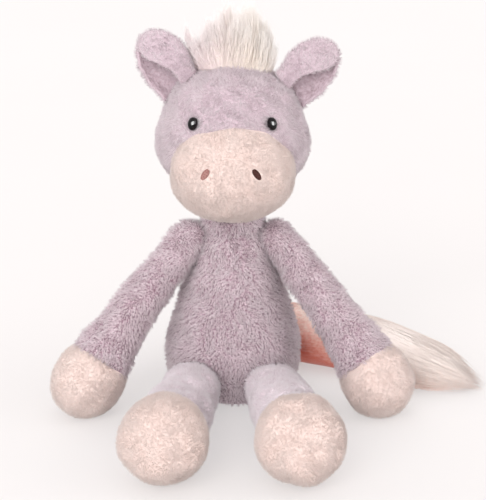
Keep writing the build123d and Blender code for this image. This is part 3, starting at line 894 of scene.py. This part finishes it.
own = np.argmin(((stray[:, None] - lock_root[None, :, :2]) ** 2).sum(2), axis=1)
roots = on_head(root_xy, 2.6)
tips = lock_tip[own] * 0.45 + (roots + lock_tip[own] - lock_root[own]) * 0.55
tips = tips + rng.normal(size=(count, 3)) * [1.5, 1.5, 3.0]
shorter = np.where(rng.random(count) < 0.45, rng.uniform(0.4, 1.0, count), 1.0)
tips = roots + (tips - roots) * shorter[:, None]
bulge = (root_xy - tuft_middle[:2]) / tuft_half[:2] * [2.0, 1.4]
mids = (roots + tips) / 2 + np.concatenate([bulge, np.zeros((count, 1))], 1)
mids = mids + rng.normal(size=(count, 3)) * 0.8
paths = curved(roots, mids, tips, 5)
widths = 0.32 * rng.uniform(0.7, 1.3, count)

# the spikes that stand out of its top and sides: their tips, across and up
spikes = np.array([
    (-2.1, 235), (11.4, 233.5), (-9.4, 226), (-27.7, 220), (19.1, 224), (25.7, 208.5),
    (3.0, 227.5), (6.5, 226), (-16.0, 218.5), (-22.5, 213), (15.0, 228), (23.0, 216),
])
spike_rng = np.random.default_rng(82)
per_spike = 130
own = np.repeat(np.arange(len(spikes)), per_spike)
count = len(own)
root_xy = np.stack([spikes[:, 0] * 0.62, tuft_middle[1] + spike_rng.uniform(-3.0, 3.0, len(spikes))], 1)[own]
roots = on_head(root_xy + spike_rng.normal(size=(count, 2)) * 1.9, 2.6)
tips = np.stack([spikes[own, 0], root_xy[:, 1] + 1.0, spikes[own, 1]], 1)
tips += spike_rng.normal(size=(count, 3)) * [1.0, 1.0, 2.4]
shorter = np.where(spike_rng.random(count) < 0.4, spike_rng.uniform(0.5, 1.0, count), 1.0)
tips = roots + (tips - roots) * shorter[:, None]
mids = (roots + tips) / 2
mids[:, 0] += spikes[own, 0] * 0.08
mids += spike_rng.normal(size=(count, 3)) * 1.1
paths = np.concatenate([paths, curved(roots, mids, tips, 5)])
widths = np.concatenate([widths, 0.30 * spike_rng.uniform(0.7, 1.3, count)])
up = np.tile([0.0, -0.6, 0.8], (len(paths), 1))
strands("forelock_pile", paths, widths, up, cream, 0.35, "head", "long_pile")

# the body of each long pile is a solid core, which closes the view between its strands
core, core_faces = unit_ball(5)
middle = np.array([tuft_middle[0], tuft_middle[1], low[2] + 6.0])
core_points = middle + core * [tuft_half[0] * 0.80, tuft_half[1] * 0.80, 16.0]
core_points += core * (ripple(core_points, 7, 8) * 1.2)[:, None]
forelock_core = link_mesh("forelock_core", core_points, core_faces, cream)
stand_in(forelock_core, "head", "long_pile", "forelock")

# the mane, down the back of the head
low, high = cad("mane")
mane_half = (high[0] - low[0]) / 2
mane_start, mane_end = math.radians(24.0), math.radians(122.0)


def mane_point(x, angle, radius):
    """Places on the head, x aside and at an angle back from its top, and the ways out of it there."""
    out = np.stack([np.zeros_like(angle), np.sin(angle), np.cos(angle)], 1)
    rise = np.sqrt(np.maximum(radius**2 - x**2, 0))[:, None]
    return head_centre + out * rise + np.stack([x, 0 * x, 0 * x], 1), out


count = 4200
x = rng.uniform(-0.85, 0.85, count) * mane_half
angle = rng.uniform(mane_start, mane_end, count)
roots, out = mane_point(x, angle, head_radius - 2.8)
lock = np.floor(angle * 16) + 40 * (x > 0)
lock_turn = rng.normal(size=(200, 3))[lock.astype(int)]
down = np.stack([np.zeros(count), np.cos(angle), -np.sin(angle)], 1)
sideways = np.stack([x / mane_half, 0 * x, 0 * x], 1)
length = rng.uniform(13.0, 19.0, count)[:, None]
tips = roots + unit(out * 0.52 + down * 0.65 + sideways * 0.45 + lock_turn * 0.12) * length
mids = roots + unit(out + sideways * 0.2) * length * 0.42
paths = curved(roots, mids, tips, 4)
kept = clear_of_neck(paths[:, -1], 2.0)
widths = 0.42 * rng.uniform(0.7, 1.3, kept.sum())
strands("mane_pile", paths[kept], widths, out[kept], cream, 0.2, "head", "long_pile")
turn = turns(20)
x = np.cos(turn) * mane_half * 0.72
strip = []
for a in np.linspace(mane_start, mane_end, 60):
    lift = np.sin(turn) * 2.2 * min(1.0, 4 * min(a - mane_start, mane_end - a) + 0.15)
    place, outward = mane_point(x, np.full(len(turn), a), head_radius - 2.0)
    strip.append(place + outward * lift[:, None])
mane_core = link_rings("mane_core", strip, strip[0].mean(0), strip[-1].mean(0), cream)
stand_in(mane_core, "head", "long_pile", "mane")

# the tail, laid round to the toy's left
tail_pivot = joint_place["tail_sweep"]
tail_offsets = np.array([
    (0, 0, 0), (21, 17.5, -3), (54, 9.5, -5), (88, -16.5, -6), (120, -38.5, -9), (146, -58.5, -13),
], float)
tail_radii = np.array([10.2, 12.0, 15.0, 15.0, 13.0, 9.5])
tail_spread = np.array([1.0, 1.3, 1.8, 1.5, 1.65, 1.6])  # how much wider than high it lies, less by the hoof
tail_drift = np.array([0.0, 3.0, 10.0, 1.0, 3.0, 0.0])  # how far the pile falls to the front
tail_line = tail_pivot + tail_offsets
tail_gaps = lengths_along(tail_line)
tail_share = tail_gaps / tail_gaps[-1]


def between(s, knots, rows):
    return np.stack([np.interp(s, knots, row) for row in rows], -1)


def tail_place(s):
    """The tail's middle line, and the ways across it and up as long as the pile, at shares of its length."""
    knots = np.linspace(0, 1, 60)
    line = between(knots, tail_share, tail_line.T)
    sizes = between(knots, tail_share, (tail_radii, tail_spread, tail_drift))
    for _ in range(10):
        line[1:-1] = (line[:-2] + line[1:-1] * 2 + line[2:]) / 4
        sizes[1:-1] = (sizes[:-2] + sizes[1:-1] * 2 + sizes[2:]) / 4
    middle = between(s, knots, line.T)
    forward = unit(between(s, knots, np.gradient(line, axis=0).T))
    radius, spread, drift = np.moveaxis(between(s, knots, sizes.T), -1, 0)[..., None]
    across = unit(np.cross(forward, [0.0, 0.0, 1.0]))
    return middle + across * drift, across * radius * spread, np.cross(across, forward) * radius


turn = turns(48)
core_share = np.linspace(0.0, 0.965, 90)
middle, across, up = tail_place(core_share)
girth = 0.84 * np.sqrt(np.clip((0.97 - core_share) / 0.25, 0.01, 1))[:, None]
girth = girth * (1 + 0.03 * np.sin(turn * 7 + core_share[:, None] * 6))
strip = middle[:, None] + (np.cos(turn) * girth)[..., None] * across[:, None]
strip = strip + (np.sin(turn) * girth)[..., None] * up[:, None]
tail_way = np.cross(up[0], across[0]) / np.linalg.norm(across[0]) / np.linalg.norm(up[0])
root_radius = np.linalg.norm(strip[0] - middle[0], axis=1).mean()
last = strip[-1].mean(0)
dome = np.radians(np.linspace(8, 82, 9))[:, None, None]
cap = middle[0] + (strip[0] - middle[0]) * np.sin(dome) - tail_way * root_radius * np.cos(dome)
strip = np.concatenate([cap, strip])
tail_core = link_rings("tail_core", strip, middle[0] - tail_way * root_radius, last, tail_dye_and_shade)
stand_in(tail_core, "tail", "long_pile", "tail_pile")


def tail_root_keep(p, n):
    return (distance(p, tail_pivot) < 17) & (p[:, 2] > 1.5)


pile("tail_root_pile", tail_core, tail_dye_and_shade, "tail", "long_pile",
     2.6, 6.0, 0.38, 1.6, 0.6, tail_way * 0.9, 91, tail_root_keep, 8.0)

lock_count, per_lock, steps = 170, 60, 6
lock_angle = rng.uniform(0, 2 * math.pi, lock_count)
lock_reach = np.sqrt(rng.uniform(0.72, 1.06, lock_count))
lock_end = 1.03 - 0.45 * rng.random(lock_count) ** 1.6
own = np.repeat(np.arange(lock_count), per_lock)
count = len(own)
start = np.clip(lock_end[own] - rng.uniform(0.45, 0.8, count), 0.0, 0.6)
end = lock_end[own] + rng.uniform(-0.06, 0.02, count)
s = start[:, None] + (end - start)[:, None] * np.linspace(0, 1, steps + 1)[None]
middle, across, up = tail_place(np.clip(s, 0, 1))
beyond = np.maximum(s - 1, 0)[..., None] * tail_gaps[-1]
middle = middle + unit(tail_line[-1] - tail_line[-2]) * beyond
loose = rng.normal(size=(count, 2)) * 0.34
drawn = 1 - 0.4 * np.linspace(0, 1, steps + 1)[None] ** 2
wobble = 0.04 * np.sin(s * 14 + lock_angle[own][:, None] * 3)
a = (np.cos(lock_angle) * lock_reach)[own][:, None] + loose[:, :1] * drawn + wobble
b = (np.sin(lock_angle) * lock_reach)[own][:, None] + loose[:, 1:] * drawn + wobble * 0.5
held = np.clip(np.hypot(a, b), 0.90, 1.10) / np.hypot(a, b)
held *= np.sqrt(np.clip((1.08 - s) / 0.2, 0.15, 1))
held *= 0.70 + 0.30 * smooth_step(s - start[:, None], 0.0, 0.09)  # each strand comes out of the core
drawn_in = np.random.default_rng(92).uniform(0.0, 0.95, lock_count)[own][:, None]
held *= 1 - drawn_in * smooth_step(s, 0.80, 1.02)  # and the end closes over it
paths = middle + (a * held)[..., None] * across + (b * held)[..., None] * up
paths[..., 2] = np.maximum(paths[..., 2], FLOOR + 0.2)
normals = unit(paths[:, steps // 2] - middle[:, steps // 2] + [0.0, 0.0, 0.5])
widths = 0.38 * rng.uniform(0.7, 1.3, count)
strands("tail_locks", paths, widths, normals, tail_dye_and_shade, 0.25, "tail", "long_pile")

# ---------------- nostrils, satin stitch
stitches, around, bends = 15, 8, 9
for name, (place, out, way, across) in nostrils.items():
    points, faces = [], []
    for k in range(stitches):
        t = -1 + (2 * k + 1) / stitches
        reach = NOSTRIL_HALF_WIDTH * math.sqrt(1 - t * t)
        u = np.linspace(-1, 1, bends)
        crown = 0.9 * np.sqrt(np.maximum(1 - u**2, 0))
        line = place + way * t * NOSTRIL_HALF_LENGTH
        line = line + across * (u * reach)[:, None] + out * (crown - 0.25)[:, None]
        radii = 0.30 * np.array([0.4] + [1.0] * (bends - 2) + [0.4])
        more, more_faces = swept(line, radii, around)
        base = sum(len(p) for p in points)
        points.append(more)
        faces += [tuple(i + base for i in f) for f in more_faces]
    # the right nostril's lighter thread is painted light
    fabric = thread if name == "left" else lit_thread
    stitch = link_mesh(f"{name}_nostril_stitches", np.concatenate(points), faces, fabric)
    stand_in(stitch, "head", "dark_thread", f"{name}_nostril")

# ---------------- floor and light
floor_mesh = bpy.data.meshes.new("floor")
floor_mesh.from_pydata([(-6, -6, 0), (6, -6, 0), (6, 6, 0), (-6, 6, 0)], [], [(0, 1, 2, 3)])
floor = linked("floor", floor_mesh)
floor_material = plain_material("floor", (0.395, 0.380, 0.377), (0.405, 0.390, 0.387), 0.9, 3.0, 0.0)
# its own light keeps the shadows on it soft
set_inputs(floor_material.node_tree.nodes["Principled BSDF"],
           {"Emission Color": (0.455, 0.449, 0.447, 1), "Emission Strength": 1.0})
floor_mesh.materials.append(floor_material)

world = bpy.data.worlds.new("world")
bpy.context.scene.world = world
world.use_nodes = True
set_inputs(world.node_tree.nodes["Background"], {"Color": (1.0, 0.956, 0.948, 1), "Strength": 1.0})


def sun_light(name, power, angle, place):
    """A sun that shines from this place towards the middle."""
    data = bpy.data.lights.new(name, "SUN")
    data.energy = power
    data.angle = math.radians(angle)
    linked(name, data).rotation_euler = Vector(place).to_track_quat("Z", "Y").to_euler()


sun_light("key", 1.4, 40.0, (-0.5, -1.0, 0.6))
sun_light("front", 0.75, 60.0, (0.1, -1.0, 0.06))
sun_light("side", 0.8, 60.0, (1.0, -0.1, 0.3))
sun_light("back", 0.6, 60.0, (-0.5, 1.0, 0.5))


def glint_light(name, place, size, power):
    """A soft box that only gloss shows, such as the eyes'."""
    data = bpy.data.lights.new(name, "AREA")
    data.shape = "SQUARE"
    data.size = size
    data.energy = power
    obj = linked(name, data)
    obj.location = place
    obj.rotation_euler = (Vector(place) - Vector((0, 0, 0.17))).to_track_quat("Z", "Y").to_euler()
    obj.visible_diffuse = False
    obj.visible_camera = False


glint_light("glint_front", (0.35, -1.45, 0.85), 1.5, 260.0)
glint_light("glint_side", (1.0, -0.50, 0.5), 0.6, 12.0)
bpy.context.scene.view_settings.view_transform = "Standard"
